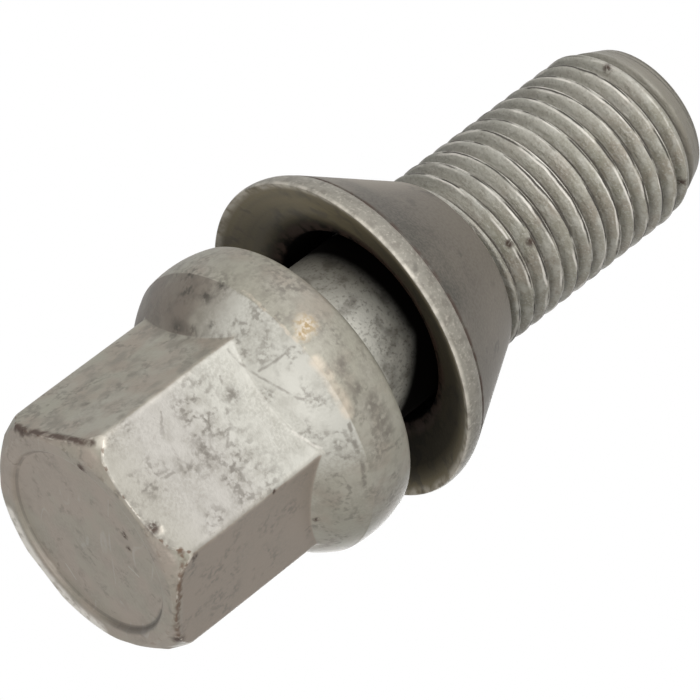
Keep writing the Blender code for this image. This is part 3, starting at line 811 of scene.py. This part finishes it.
def bolt_finish(colours, head, thread):
    """Dull zinc plating on hot-forged steel, plated in a barrel and then used.

    It gives the eye a soft grey sheen with no mirror images, dark smudges in clusters, thin ragged
    marks, edges rubbed to bright metal and rust where the plating has gone. Painted shade darkens
    the roots, the concave corners, the shoulder's left side and the neck under the collar, and
    painted light brightens the shoulder's front, the front flat's upper part, the neck and the
    thread's upper-left side.
    """
    finish = Finish("barrel_plated_zinc", colours.zinc, 0.5, 0.1)

    # Places on the bolt
    up = (0.0, 0.0, 1.0)
    flat = head.across_flats / 2 / MM
    head_top = head.shoulder_start / MM
    band_start = (head.shoulder_start + head.shoulder_height) / MM
    band_end = band_start + head.flange_height / MM
    thread_low = (thread.start - thread.runout) / MM
    on_end = finish.along(up, 0.9, 0.4)
    sides = [(math.sin(SECTOR * side), -math.cos(SECTOR * side), 0.0) for side in range(HEX_SIDES)]
    beyond = finish.combined("MAXIMUM", *[finish.along(side, flat + 0.01, flat + 0.1) for side in sides])
    on_flats = finish.between(beyond, 1.0, 0.0)
    front, right, left = [
        finish.combined("MULTIPLY", on_flats, finish.along(side, flat - 0.12, flat - 0.03))
        for side in (sides[0], sides[1], sides[-1])]
    on_shoulder = finish.combined("MULTIPLY", beyond, finish.along(up, head_top - 0.5, head_top),
                                  finish.along(up, band_start + 0.1, band_start))
    on_band = finish.combined("MULTIPLY", finish.along(up, band_start - 0.1, band_start + 0.1),
                              finish.along(up, band_end + 0.1, band_end - 0.1))
    on_neck = finish.combined("MULTIPLY", finish.along(up, band_end + 0.9, band_end + 1.4),
                              finish.along(up, thread_low + 0.4, thread_low - 0.6))
    threaded = finish.along(up, thread_low - 0.5, thread_low + 0.5)

    # Tones of the plating piece by piece, with painted highlight on the front flat's upper part and the
    # shoulder's front, and painted shade on the shoulder's left side
    finish.lay(colours.zinc_cool, finish.blotches(4.5, 0.4, 0.62, 0.8, seed=3.1))
    finish.lay(colours.zinc_warm, finish.blotches(2.2, 0.45, 0.7, 0.5, seed=7.7))
    finish.lay(colours.zinc_warm, right)
    finish.lay(colours.zinc_end, on_end)
    finish.lay(colours.zinc_cool, on_end, finish.blotches(3.2, 0.42, 0.6, 0.5, seed=21.0))
    finish.lay(colours.zinc_front, front)
    # Painted highlight: the front flat paler towards the shoulder
    finish.lay(colours.pale_zinc_and_light, front, finish.along(up, 6.5, 10.5))
    finish.lay(colours.zinc, front, finish.along(up, 4.5, 0.5, 0.7))
    finish.lay(colours.zinc_warm, left, finish.blotches(2.8, 0.44, 0.62, 0.55, seed=44.0))
    # Painted highlight: the shoulder paler on its front
    finish.lay(colours.pale_zinc_and_light, on_shoulder, finish.facing(-95, 50, 28))
    # The shoulder's left side darker: a real stain and painted shade
    shaded = finish.combined("MULTIPLY", on_shoulder, finish.facing(-172, 50, 17))
    finish.lay(colours.stain_and_shade, shaded, finish.blotches(2.6, 0.1, 0.55, seed=50.0, detail=4.0))
    finish.lay(colours.grime_and_shade, shaded, finish.blotches(1.2, 0.45, 0.75, 0.45, 51.0, 6.0))

    # Grain of the plating, really about 0.05 mm, drawn at 0.2 mm so that it shows
    grain = finish.blotches(0.2, 0.3, 0.7, seed=1.3)
    finish.lay(colours.zinc_dark, grain, finish.blotches(2.6, 0.35, 0.65, 0.35, 5.0))
    finish.emboss(grain, 0.006)

    # Soft stains, then smudges in clusters, then thin marks
    flecks = finish.blotches(0.36, 0.4, 0.62, seed=2.9, detail=5.0)
    soft = finish.blotches(1.3, 0.46, 0.7, seed=9.4, detail=4.0)
    where = finish.combined(
        "MAXIMUM", finish.combined("MULTIPLY", left, 0.9), finish.combined("MULTIPLY", front, 0.3),
        finish.combined("MULTIPLY", finish.combined("MAXIMUM", on_shoulder, on_end), 0.3))
    finish.lay(colours.zinc_dark, soft, where)
    lower = finish.combined("MULTIPLY", front, finish.along(up, 12.0, 8.0))
    ragged = finish.combined("MAXIMUM", finish.blotches(0.8, 0.46, 0.7, 0.85, 32.9, 5.0),
                             finish.veins(1.6, 0.34, 1.0, 17.1, 3.0))
    clusters = finish.blotches(3.0, 0.36, 0.58, 0.8, seed=11.3)
    finish.lay(colours.zinc_dark, clusters, finish.blotches(1.1, 0.42, 0.7, 0.6, 33.9, 4.0), lower)
    finish.lay(colours.smudge, clusters, ragged, flecks, lower, roughness=0.6)
    finish.lay(colours.smudge, finish.veins(2.1, 0.3, 0.6, 6.4, 4.0), flecks,
               finish.blotches(2.4, 0.41, 0.6, seed=30.2),
               finish.combined("MAXIMUM", left, right, on_shoulder, on_band))
    finish.lay(colours.smudge, finish.strokes(FRONT_LINES, 0.3, 2.5, 0.3),
               finish.blotches(0.9, 0.4, 0.6, 0.5, 8.1, 3.0))
    finish.lay(colours.zinc_front, on_end,
               finish.veins(2.6, 0.07, 0.35, 14.0, 1.0, (1.0, 0.25, 1.0), (0.0, 0.0, 0.6)),
               finish.blotches(2.0, 0.5, 0.6, seed=18.1))
    finish.lay(colours.smudge, on_end, finish.veins(1.8, 0.2, 0.45, 24.0, 4.0), flecks,
               finish.blotches(1.8, 0.48, 0.62, seed=28.1))
    finish.lay(colours.zinc_dark, on_band, finish.blotches(0.7, 0.45, 0.68, 0.45, 6.6, 5.0))
    finish.lay(colours.smudge, on_band, flecks, finish.blotches(2.0, 0.45, 0.68, 0.5, 62.0))
    finish.lay(colours.smudge, finish.strokes(SHOULDER_LINES, 0.3, 2.0, 0.1),
               finish.blotches(0.6, 0.3, 0.65, 0.55, 2.2, 4.0))
    finish.lay(colours.smudge, finish.spots(BAND_SMEAR, 1.0, 5.0),
               finish.blotches(0.45, 0.32, 0.58, 0.85, 3.3, 5.0), roughness=0.6)
    # Painted light: the neck painted pale so that it reads as lit
    finish.lay(colours.neck_painted_light, on_neck, 0.9)
    finish.lay(colours.smudge, on_neck, finish.facing(-165, 70, 20, 0.4))
    finish.lay(colours.smudge, on_neck, finish.blotches(1.4, 0.46, 0.68, 0.65, 15.1, 5.0))
    finish.lay(colours.smudge, on_neck, finish.blotches(0.25, 0.5, 0.68, 0.5, 16.3, 3.0))

    # Edges: rubbed to bright metal, darkened in the concave corners as painted shade, rusted at the head's
    # end
    wear_and_shade = finish.add("ShaderNodeAttribute", {"attribute_name": "wear_and_shade"}).outputs["Fac"]
    corner = finish.add("ShaderNodeAttribute", {"attribute_name": "corner"}).outputs["Fac"]
    finish.lay(colours.worn, finish.between(wear_and_shade, 0.35, 0.9),
               finish.blotches(0.8, 0.4, 0.65, 0.6, 4.4, 3.0), **RUBBED)
    finish.lay(colours.worn, finish.between(corner, 0.5, 1.0),
               finish.blotches(1.8, 0.3, 0.65, 0.3, 34.4, 4.0), **RUBBED)
    # Painted shade: the concave corners darkened where the value is below zero
    finish.lay(colours.grime_and_shade, finish.between(wear_and_shade, -0.2, -0.8), finish.blotches(1.2, 0.3, 0.5, 0.75, 6.1),
               roughness=0.65)
    finish.lay(colours.rust, finish.between(wear_and_shade, 0.3, 0.8), finish.along(up, 3.0, 1.6),
               finish.blotches(0.6, 0.52, 0.64, 0.8, 9.9, 3.0), **RUSTED)

    # Marks that the photo shows one by one
    finish.lay(colours.worn, finish.spots(BRIGHT_SPOTS, 0.9, 3.0), 0.85, roughness=0.45, metallic=0.3)
    # Painted highlight: a bright rim along the edge of the head's end
    finish.lay(colours.bright, finish.strokes(FACE_RIM_HIGHLIGHT, 1.5, 7.0, 0.15),
               finish.blotches(0.6, 0.22, 0.55, 0.85, 3.7, 4.0), roughness=0.45, metallic=0.2)
    finish.lay(colours.grime_and_shade, finish.strokes(RECESS_SHADE, 0.8, 8.0, 0.05), finish.facing(8, 50, 15, 0.6))
    finish.lay(colours.worn_warm, finish.strokes(RUBBED_EDGE, 1.3, 3.0, 0.15),
               finish.blotches(0.9, 0.1, 0.7, 0.7, 5.5, 3.0), roughness=0.5, metallic=0.1)
    finish.lay(colours.worn_warm, finish.strokes(WARM_EDGE, 0.4, 10.0, 0.15),
               finish.blotches(0.5, 0.35, 0.65, 0.45, 6.5, 5.0))
    finish.lay(colours.smudge, finish.strokes(DARK_EDGE, 0.5, 11.0, 0.2),
               finish.blotches(0.6, 0.4, 0.6, 0.7, 26.5, 4.0))
    # Painted highlight along the ridge where the front flat meets the shoulder
    finish.lay(colours.bright, finish.strokes(SHOULDER_RIDGE_HIGHLIGHT, 0.3, 9.0, 0.1), 0.35)
    finish.lay(colours.pale_zinc_and_light, finish.strokes(SCRATCHES, 0.22, 12.0, 0.1), 0.4)
    finish.lay(colours.rust_dark, finish.strokes(CHAMFER_LINE, 0.9, 1.0, 0.3),
               finish.blotches(0.8, 0.26, 0.56, 0.95, 2.6, 5.0), **RUSTED)
    finish.lay(colours.rust, finish.strokes(CHAMFER_CRACK, 0.6, 6.0, 0.3),
               finish.blotches(0.5, 0.34, 0.58, 0.85, 12.6, 5.0), **RUSTED)
    finish.lay(colours.smudge, finish.spots(DARK_SPOTS, 0.9, 4.0),
               finish.blotches(0.6, 0.4, 0.62, 0.85, 1.9, 4.0), roughness=0.6)
    finish.lay(colours.grime_and_shade, finish.spots(STAIN_CORES, 0.95, 4.5),
               finish.blotches(0.7, 0.42, 0.6, 0.9, 1.9, 5.0), roughness=0.6)
    finish.lay(colours.worn_warm, finish.spots(YELLOW_SPOTS, 1.0, 2.0), 0.8)
    finish.lay(colours.rust_pale, finish.spots(YELLOW_SPOTS, 0.95, 2.5),
               finish.blotches(0.3, 0.42, 0.62, 0.9, 8.8, 3.0), roughness=0.7, metallic=0.0)

    # Thread: a dark broken seam along the crest between two bright lines, and painted shade in the roots.
    # The marks that the dies drew out along the helix, and the seam, are drawn coarser than real.
    crest, along, across = [finish.add("ShaderNodeAttribute", {"attribute_name": name}).outputs["Fac"]
                            for name in ("crest", "along", "across")]
    height = finish.add("ShaderNodeSeparateXYZ", inputs={0: finish.place}).outputs["Z"]
    helix = finish.add("ShaderNodeCombineXYZ", inputs={"X": along, "Y": height}).outputs[0]
    drawn_out = (0.3, 1.0, 1.0)
    # Painted light: the thread paler on its upper-left side
    finish.lay(colours.pale_zinc_and_light, threaded, finish.facing(-160, 75, 30, 0.6))
    finish.lay(colours.pale_zinc_and_light, threaded,
               finish.blotches(0.45, 0.45, 0.7, 0.7, 40.0, 5.0, drawn_out, place=helix))
    finish.lay(colours.zinc_dark, threaded, finish.blotches(0.24, 0.46, 0.7, 0.4, 41.0, 4.0))
    finish.lay(colours.pale_zinc_and_light, threaded, finish.blotches(0.18, 0.52, 0.68, 0.55, 46.0, 3.0))
    lumps = finish.combined("MULTIPLY", threaded,
                            finish.blotches(0.28, 0.4, 0.75, 1.0, 43.0, 4.0, drawn_out, place=helix))
    finish.emboss(lumps, 0.045)
    # Painted shade: the thread darker deep in its roots
    finish.lay(colours.smudge, threaded, finish.between(wear_and_shade, -0.05, -0.8, 0.7))
    seam = finish.beside(across, finish.noise(1.1, 50.0, 4.0, drawn_out, (0.0, 0.0, 0.0), helix), 0.1)
    seam_line = finish.combined("MULTIPLY", crest, finish.between(seam, 0.1 * MM, 0.04 * MM),
                                finish.blotches(0.7, 0.4, 0.52, 1.0, 12.5, 5.0, drawn_out, place=helix))
    off_line = finish.apart(seam, 0.12 * MM)
    finish.lay(colours.bright, crest, finish.between(off_line, 0.06 * MM, 0.02 * MM),
               finish.blotches(0.8, 0.42, 0.6, 0.75, 45.0, 5.0, drawn_out, place=helix))
    finish.lay(colours.grime_and_shade, seam_line, roughness=0.7)
    finish.emboss(seam_line, -0.03)
    chamfered = finish.along(up, (thread.bolt_length - thread.tip_chamfer) / MM,
                             thread.bolt_length / MM - 1.0, 0.95)
    finish.lay(colours.zinc_dark, chamfered)
    finish.lay(colours.rust_dark, finish.spots(RUST_SPOTS, 0.9, 1.5),
               finish.blotches(0.3, 0.3, 0.5, seed=5.2), **RUSTED)

    # Painted shadow of the collar: the neck painted black where the collar shades it, as far up as the
    # collar hides it when it is down on its seat
    collar_shadow = finish.combined("MAXIMUM", *[finish.along(way, near, far) for way, near, far in SHADOW_EDGES])
    sheltered = finish.along(up, thread_low - 3.6, thread_low - 4.8)
    finish.lay(colours.shade_black, on_neck, sheltered, collar_shadow, **UNLIT)
    return finish.done()


def collar_finish(colours, collar, start):
    """Dull zinc plating on a turned steel ring, with dirt and painted black shade in its cup.

    It gives the eye a smooth dark grey cone with few scratches, faint turning rings in the cup, a
    mottled outer band with a paler rubbed edge and painted highlight at the mouth and old rust in the
    turned line. The cone is paler on its upper-left side as painted light.
    """
    finish = Finish("turned_ring_zinc", colours.ring, 0.55, 0.15)
    finish.centre((0.0, 0.0, start), collar_turn(collar).to_euler())
    up = (0.0, 0.0, 1.0)
    band_top = (collar.band_height - collar.height) / MM
    inside = finish.add("ShaderNodeAttribute", {"attribute_name": "inside"}).outputs["Fac"]
    on_band = finish.along(up, band_top + 0.05, band_top - 0.05)
    # The cone paler in patches, towards its small end and towards azimuth 80 degrees, and towards azimuth
    # -170 degrees as painted light
    finish.lay(colours.pale_ring_and_light,
               finish.combined("MAXIMUM", finish.blotches(3.5, 0.42, 0.7, 0.3, 2.2),
                               finish.along(up, -6.0, -1.0, 0.35), finish.facing(-170, 50, 20),
                               finish.facing(80, 100, 70, 0.6)))
    finish.lay(colours.grime_and_shade, finish.along(up, band_top + 3.6, band_top + 0.8),
               finish.blotches(3.0, 0.2, 0.6, 1.0, 31.0, 4.0))
    finish.lay(colours.pale_ring_and_light, finish.facing(-35, 45, 25, 0.3))
    finish.lay(colours.band, on_band)
    finish.lay(colours.smudge, on_band, finish.blotches(0.7, 0.44, 0.66, 0.55, 3.7, 5.0))
    finish.lay(colours.worn, on_band, finish.blotches(0.22, 0.5, 0.75, 0.35, 23.7, 3.0))
    # Grain as on the bolt, drawn coarser than real
    grain = finish.blotches(0.2, 0.3, 0.7, 0.3, seed=6.3)
    finish.lay(colours.zinc_dark, grain)
    finish.emboss(grain, 0.02)
    finish.lay(colours.grime_and_shade, finish.veins(2.8, 0.14, 0.5, 21.1, 3.0, (1.0, 1.0, 0.3)),
               finish.blotches(2.2, 0.54, 0.66, seed=5.9))

    finish.lay(colours.cup, inside, roughness=0.5)
    finish.lay(colours.grime_and_shade, inside, finish.veins(2.4, 0.3, 0.5, 71.0, 5.0),
               finish.blotches(2.0, 0.42, 0.6, seed=72.0))
    # Turning rings, really 0.1 to 0.2 mm apart, drawn at 0.4 mm
    rings = finish.blotches(0.4, 0.35, 0.65, 0.25, 4.9, stretch=(0.02, 0.02, 1.0))
    finish.lay(colours.grime_and_shade, inside, rings)
    # Painted shade: the cup painted black towards the bore and on its side towards azimuth -30 degrees
    turned_away = finish.combined("MULTIPLY", finish.out(12.2, 10.2), finish.facing(-30, 130, 60, 0.8))
    shaded = finish.combined("MAXIMUM", finish.out(9.6, 7.6), turned_away)
    finish.lay(colours.shade_black, inside, shaded, **UNLIT)

    wear_and_shade = finish.add("ShaderNodeAttribute", {"attribute_name": "wear_and_shade"}).outputs["Fac"]
    finish.lay(colours.worn_warm, finish.between(wear_and_shade, 0.4, 0.95),
               finish.blotches(1.2, 0.3, 0.62, 0.75, 7.0, 5.0), roughness=0.5, metallic=0.1)
    # Painted shade in the corners of the turned line, where the value is below zero
    finish.lay(colours.grime_and_shade, finish.between(wear_and_shade, -0.1, -0.7, 0.85), roughness=0.65)
    mouth = -collar.height / MM
    # A paler rim at the mouth: rubbed edge and painted highlight
    finish.lay(colours.worn, finish.along(up, mouth + 0.36, mouth + 0.08),
               finish.blotches(0.9, 0.28, 0.66, 0.6, 27.0, 4.0), roughness=0.5)
    finish.lay(colours.rust_dark, finish.along(up, band_top + 0.45, band_top + 0.1),
               finish.along(up, band_top - 0.25, band_top - 0.02),
               finish.blotches(0.9, 0.36, 0.58, 0.85, 35.0, 4.0), roughness=0.65)
    return finish.done()


class WHEELBOLT_OT_forging(bpy.types.Operator):
    """Makes the bolt: head, flange, neck and thread as one closed skin"""
    bl_idname = "wheel_bolt.forging"
    bl_label = "Bolt"

    def execute(self, context):
        head = context.scene.wheel_bolt_head
        thread = context.scene.wheel_bolt_thread
        grid = context.scene.wheel_bolt_grid
        share = np.linspace(0.0, 1.0, grid.columns + 1)
        sector_share = share * HEX_SIDES
        even = math.tau * share
        crowded = even - grid.crowding * np.sin(math.tau * sector_share) / HEX_SIDES
        rows, wear_and_shade = head_rows(head, thread, crowded)
        threads, thread_marks = thread_rows(thread, crowded)
        tip, tip_wear = tip_rows(thread)
        parts = (rows, threads, tip)
        points = np.concatenate([turned_points(part, crowded) for part in parts])
        marks = {
            "wear_and_shade": (wear_and_shade[:, None], thread_marks["wear_and_shade"], tip_wear[:, None]),
            "corner": (corner_rows(head, rows, crowded), 0.0, 0.0),
            "crest": (0.0, thread_marks["crest"], 0.0),
            "across": (0.0, thread_marks["across"], 0.0),
            "along": (0.0, thread_marks["along"], 0.0),
        }
        attributes = {key: np.concatenate([np.broadcast_to(value, (len(part), len(share)))
                                           for value, part in zip(values, parts)])
                      for key, values in marks.items()}
        colours = context.scene.wheel_bolt_colours
        bolt = skin("bolt_forging", points, attributes, bolt_finish(colours, head, thread))
        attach(bolt, "bolt")
        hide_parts("bolt")
        return {"FINISHED"}


class WHEELBOLT_OT_collar(bpy.types.Operator):
    """Makes the loose seat collar where it leans on the start of the thread"""
    bl_idname = "wheel_bolt.collar"
    bl_label = "Seat collar"

    def execute(self, context):
        head = context.scene.wheel_bolt_head
        thread = context.scene.wheel_bolt_thread
        collar = context.scene.wheel_bolt_collar
        grid = context.scene.wheel_bolt_grid
        rows, wear_and_shade = collar_rows(collar, thread, head.ball_radius)
        angle = np.linspace(0.0, math.tau, grid.ring_columns + 1)
        points = turned_points(rows, angle)
        turned = np.array(collar_turn(collar).to_matrix())
        start = thread.start - collar.thread_gap
        points = points @ turned.T + np.array([0.0, 0.0, start])
        inside = np.arange(len(rows)) > np.argmin(rows[:, 1, 0]) + 1
        attributes = {"wear_and_shade": wear_and_shade[:, None], "inside": inside[:, None]}
        colours = context.scene.wheel_bolt_colours
        ring = skin("seat_ring", points, attributes, collar_finish(colours, collar, start))
        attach(ring, "seat_collar")
        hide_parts("seat_collar")
        return {"FINISHED"}


def collar_turn(collar):
    """Rotation that leans the collar's small end towards its heading."""
    axis = Vector((-math.sin(collar.lean_heading), math.cos(collar.lean_heading), 0.0))
    return Quaternion(axis, collar.lean)


class WHEELBOLT_OT_stage(bpy.types.Operator):
    """Sets the camera, the lamps, the world and the floor"""
    bl_idname = "wheel_bolt.stage"
    bl_label = "Studio"

    def execute(self, context):
        make_camera()
        make_lamps()
        make_world()
        make_floor()
        return {"FINISHED"}


# The camera, matched to the photograph: its angle from the bolt's axis, its roll, its distance
# from the point of the axis that it looks at, that point's height and its sideways offset
VIEW_FROM_AXIS = math.radians(60.668)
VIEW_ROLL = math.radians(37.5)
VIEW_DISTANCE = 0.3006
VIEW_HEIGHT = 0.0247
VIEW_OFFSET = 0.000537
VIEW_FOCAL_PIXELS = 4374
PHOTO_PIXELS = 700
SENSOR_WIDTH = 36.0
CLIP_START = 0.01


def make_camera():
    """Camera below the bolt's head, looking up along the thread, rolled as the photograph is."""
    sight = Vector((0.0, math.sin(VIEW_FROM_AXIS), math.cos(VIEW_FROM_AXIS)))
    across = Vector((0.0, -math.cos(VIEW_FROM_AXIS), math.sin(VIEW_FROM_AXIS)))
    side = Vector((1.0, 0.0, 0.0))
    right = math.cos(VIEW_ROLL) * across + math.sin(VIEW_ROLL) * side
    up = math.sin(VIEW_ROLL) * across - math.cos(VIEW_ROLL) * side
    place = Vector((VIEW_OFFSET, 0.0, VIEW_HEIGHT)) - sight * VIEW_DISTANCE
    data = bpy.data.cameras.new("camera")
    data.sensor_width = SENSOR_WIDTH
    data.lens = data.sensor_width * VIEW_FOCAL_PIXELS / PHOTO_PIXELS
    data.clip_start = CLIP_START
    camera = bpy.data.objects.new("camera", data)
    camera.matrix_world = Matrix.Translation(place) @ Matrix((right, up, -sight)).transposed().to_4x4()
    bpy.context.scene.collection.objects.link(camera)
    bpy.context.scene.camera = camera


# The lamps: the way from the object to each, and its power in watts
LAMPS = {
    "front": ((-0.2, -1.0, 0.15), 2.9),
    "below": ((0.15, -0.5, -0.86), 2.4),
    "left": ((-0.6, -0.5, 0.6), 0.7),
    "back": ((0.3, 0.9, 0.4), 1.1),
}
LAMP_DISTANCE = 0.6
LAMP_SIZE = 0.3

# Strength of the world's light on matt surfaces
AMBIENT = 0.1
FLOOR_SIZE = 0.6
FLOOR_COLOUR = "#F4F4F2"
FLOOR_GLOW = 0.45


def make_lamps():
    """Large soft lamps round the object, each turned to its middle."""
    middle = Vector((0.0, 0.0, VIEW_HEIGHT))
    for name, (way, power) in LAMPS.items():
        lamp = bpy.data.lights.new(name, "AREA")
        lamp.energy = power
        lamp.size = LAMP_SIZE
        item = bpy.data.objects.new(name, lamp)
        outward = Vector(way).normalized()
        item.location = middle + outward * LAMP_DISTANCE
        item.rotation_euler = (-outward).to_track_quat("-Z", "Y").to_euler()
        bpy.context.scene.collection.objects.link(item)


def make_world():
    """Plain white world: weak for matt surfaces, full for the camera and for what metal mirrors."""
    world = bpy.data.worlds.new("studio")
    world.use_nodes = True
    tree = world.node_tree
    rays = add_node(tree, "ShaderNodeLightPath")
    strength = AMBIENT
    for name in ("Is Camera Ray", "Is Glossy Ray", "Is Transmission Ray"):
        strength = add_node(tree, "ShaderNodeMath", {"operation": "MAXIMUM"},
                            {0: rays.outputs[name], 1: strength}).outputs[0]
    tree.nodes["Background"].inputs["Color"].default_value = (1.0, 1.0, 1.0, 1.0)
    tree.links.new(strength, tree.nodes["Background"].inputs["Strength"])
    bpy.context.scene.world = world
    bpy.context.scene.view_settings.view_transform = "Standard"


def make_floor():
    """Pale floor under the head: matt with a glow that only the camera sees, clear from beneath."""
    half = FLOOR_SIZE / 2
    mesh = bpy.data.meshes.new("floor")
    corners = [(-half, -half, 0.0), (half, -half, 0.0), (half, half, 0.0), (-half, half, 0.0)]
    mesh.from_pydata(corners, [], [(0, 1, 2, 3)])
    material = bpy.data.materials.new("pale_floor_paint")
    material.use_nodes = True
    tree = material.node_tree
    tree.nodes.clear()
    matt = add_node(tree, "ShaderNodeBsdfDiffuse", inputs={"Color": (*linear(FLOOR_COLOUR), 1.0)})
    glow = add_node(tree, "ShaderNodeEmission", inputs={"Strength": FLOOR_GLOW})
    both = add_node(tree, "ShaderNodeAddShader", inputs={0: matt.outputs[0], 1: glow.outputs[0]})
    clear = add_node(tree, "ShaderNodeBsdfTransparent")
    sides = add_node(tree, "ShaderNodeNewGeometry")
    chosen = add_node(tree, "ShaderNodeMixShader", inputs={0: sides.outputs["Backfacing"],
                                                           1: both.outputs[0], 2: clear.outputs[0]})
    add_node(tree, "ShaderNodeOutputMaterial", inputs={"Surface": chosen.outputs[0]})
    mesh.materials.append(material)
    floor = bpy.data.objects.new("floor", mesh)
    bpy.context.scene.collection.objects.link(floor)
    for rays in ("diffuse", "glossy", "transmission", "shadow"):
        setattr(floor, "visible_" + rays, False)


class WHEELBOLT_PT_panel(bpy.types.Panel):
    """Lists the pieces in the sidebar"""
    bl_label = "Wheel Bolt"
    bl_idname = "WHEELBOLT_PT_panel"
    bl_space_type = "VIEW_3D"
    bl_region_type = "UI"
    bl_category = "Wheel Bolt"

    def draw(self, context):
        for operator in OPERATORS:
            self.layout.operator(operator.bl_idname)


GROUPS = {
    "wheel_bolt_head": WheelBoltHeadSizes,
    "wheel_bolt_thread": WheelBoltThreadSizes,
    "wheel_bolt_collar": WheelBoltCollarSizes,
    "wheel_bolt_colours": WheelBoltColours,
    "wheel_bolt_grid": WheelBoltGridSizes,
}
OPERATORS = (WHEELBOLT_OT_forging, WHEELBOLT_OT_collar, WHEELBOLT_OT_stage)


def register():
    for group in GROUPS.values():
        bpy.utils.register_class(group)
    for name, group in GROUPS.items():
        setattr(bpy.types.Scene, name, PointerProperty(type=group))
    for operator in OPERATORS:
        bpy.utils.register_class(operator)
    bpy.utils.register_class(WHEELBOLT_PT_panel)


def unregister():
    bpy.utils.unregister_class(WHEELBOLT_PT_panel)
    for operator in reversed(OPERATORS):
        bpy.utils.unregister_class(operator)
    for name in GROUPS:
        delattr(bpy.types.Scene, name)
    for group in reversed(GROUPS.values()):
        bpy.utils.unregister_class(group)


def main():
    register()
    bpy.ops.wheel_bolt.forging()
    bpy.ops.wheel_bolt.collar()
    bpy.ops.wheel_bolt.stage()


if __name__ == "__main__":
    main()
